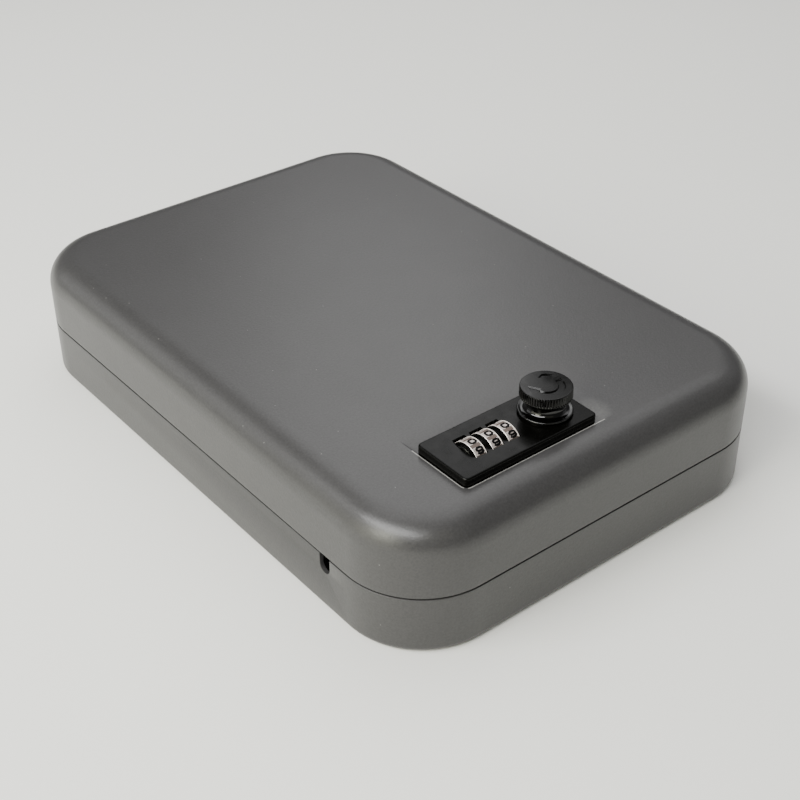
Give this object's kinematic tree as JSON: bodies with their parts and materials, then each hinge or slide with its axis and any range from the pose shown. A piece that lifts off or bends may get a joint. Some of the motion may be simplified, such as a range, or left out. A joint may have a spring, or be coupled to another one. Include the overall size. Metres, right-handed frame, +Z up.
{
  "type": "combination lock box",
  "caption": "Flat rounded steel clamshell box that opens on a rear piano hinge; a small black combination lock with a turning knob and number wheels sits on the lid near the front.",
  "frame": {"origin": "middle of the base's underside, on the ground", "axes": "+X to the right seen from the lock side, +Y from the lock side to the hinge, +Z up; lid closed, dials at 0-0-0 and knob turned to open"},
  "size_m": [0.168, 0.241, 0.0614],
  "materials": {
    "shell_paint": "fine-textured grey powder coat",
    "lock_black": "satin black",
    "band": "satin silver with raised rims",
    "zinc": "zinc plated",
    "foam": "soft open-cell foam"
  },
  "bodies": {
    "base": {"base_shell": "shell_paint", "anti_pry_strip": "shell_paint", "strike_bracket": "zinc", "base_foam": "foam", "hinge_leaf_base": "zinc", "hinge_pin": "zinc"},
    "lid": {"lid_shell": "shell_paint", "lid_foam": "foam", "hinge_leaf_lid": "zinc", "lock_plate": "lock_black", "knob_collar": "lock_black", "lock_housing": "lock_black", "lock_back_cover": "lock_black", "lock_screw_left": "zinc", "lock_screw_rear": "zinc", "dial_axle": "zinc", "detent_spring": "zinc"},
    "knob": {"knob": "lock_black", "spindle": "zinc", "latch_cam": "zinc", "cam_washer": "zinc", "cam_nut": "zinc"},
    "fence": {"fence_plate": "zinc"},
    "reset_lever": {"reset_lever": "zinc"},
    "dial_1": {"number_band_1": "band", "dial_core_1": "lock_black", "code_sleeve_1": "zinc"},
    "dial_2": {"number_band_2": "band", "dial_core_2": "lock_black", "code_sleeve_2": "zinc"},
    "dial_3": {"number_band_3": "band", "dial_core_3": "lock_black", "code_sleeve_3": "zinc"}
  },
  "joints": [
    {"name": "lid_hinge", "type": "hinge", "parent": "base", "child": "lid", "pos_m": [0, 0.1188, 0.0224], "axis": [-1, 0, 0], "range_deg": [0, 105]},
    {"name": "knob_turn", "type": "hinge", "parent": "lid", "child": "knob", "pos_m": [-0.0057, -0.09435, 0.0515], "axis": [0, 0, 1], "range_deg": [0, 90]},
    {"name": "dial_1_turn", "type": "hinge", "parent": "lid", "child": "dial_1", "pos_m": [-0.0371, -0.09435, 0.0472], "axis": [1, 0, 0], "continuous": true},
    {"name": "dial_2_turn", "type": "hinge", "parent": "lid", "child": "dial_2", "pos_m": [-0.03028, -0.09435, 0.0472], "axis": [1, 0, 0], "continuous": true},
    {"name": "dial_3_turn", "type": "hinge", "parent": "lid", "child": "dial_3", "pos_m": [-0.02346, -0.09435, 0.0472], "axis": [1, 0, 0], "continuous": true},
    {"name": "fence_slide", "type": "slide", "parent": "lid", "child": "fence", "axis": [0, 1, 0], "range_m": [-0.0014, 0]},
    {"name": "reset_lever_slide", "type": "slide", "parent": "lid", "child": "reset_lever", "axis": [-1, 0, 0], "range_m": [0, 0.002]}
  ],
  "couplings": [
    {"joint": "fence_slide", "follows": "knob_turn", "m_per_rad": -0.000828}
  ]
}
